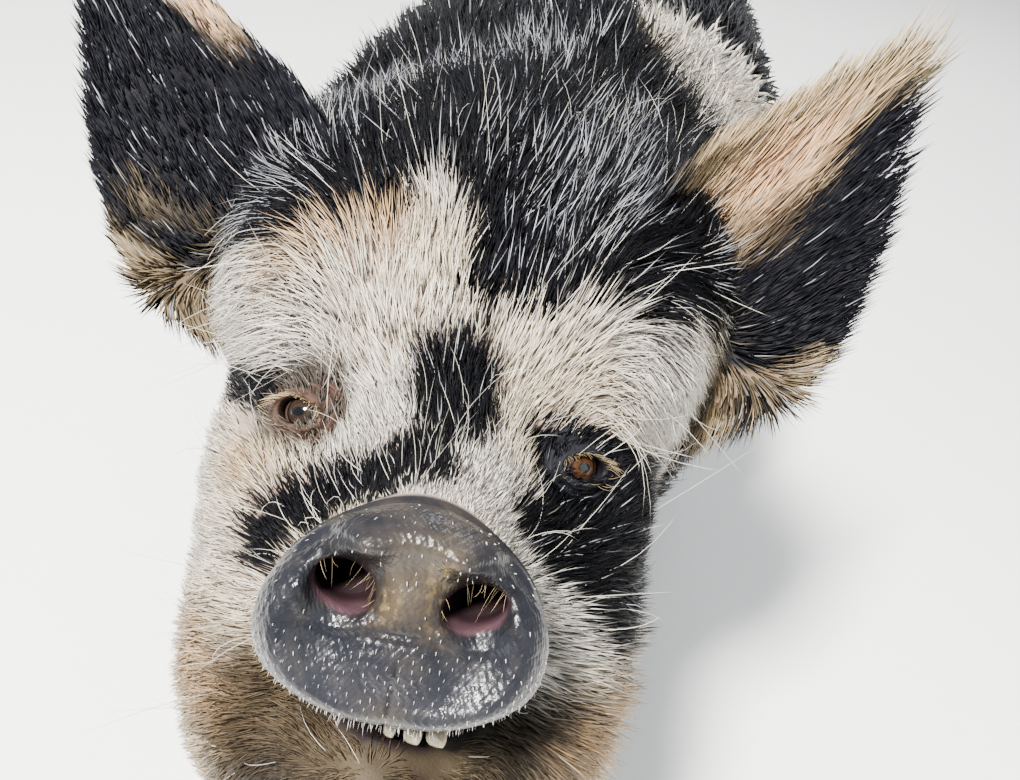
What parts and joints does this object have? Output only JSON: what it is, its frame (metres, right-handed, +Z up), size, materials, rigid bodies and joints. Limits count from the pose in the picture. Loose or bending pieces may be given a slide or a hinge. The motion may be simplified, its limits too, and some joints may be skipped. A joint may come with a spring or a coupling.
{
  "type": "kunekune pig",
  "caption": "Life-size still model of a black and white kunekune pig standing with its snout raised, for display on a floor.",
  "frame": {"origin": "on the floor under the middle of the model's outline, seen from above", "axes": "+Z up, the pig faces -Y and its left side is +X"},
  "size_m": [0.4939, 1.245, 0.6613],
  "materials": {
    "coat": "hairy",
    "snout_skin": "damp",
    "eye": "wet",
    "hoof": "worn horn"
  },
  "bodies": {
    "root": {"torso": "coat", "neck": "coat", "head": "coat", "lower_jaw": "coat", "snout": "snout_skin", "ear_left": "coat", "ear_right": "coat", "eye_left": "eye", "eye_right": "eye", "tassel_left": "coat", "tassel_right": "coat", "tail": "coat", "leg_front_left": "coat", "leg_front_right": "coat", "leg_hind_left": "coat", "leg_hind_right": "coat", "hoof_front_left_outer": "hoof", "hoof_front_left_inner": "hoof", "hoof_front_right_outer": "hoof", "hoof_front_right_inner": "hoof", "hoof_hind_left_outer": "hoof", "hoof_hind_left_inner": "hoof", "hoof_hind_right_outer": "hoof", "hoof_hind_right_inner": "hoof", "dewclaw_front_left_outer": "hoof", "dewclaw_front_left_inner": "hoof", "dewclaw_front_right_outer": "hoof", "dewclaw_front_right_inner": "hoof", "dewclaw_hind_left_outer": "hoof", "dewclaw_hind_left_inner": "hoof", "dewclaw_hind_right_outer": "hoof", "dewclaw_hind_right_inner": "hoof"}
  },
  "joints": []
}
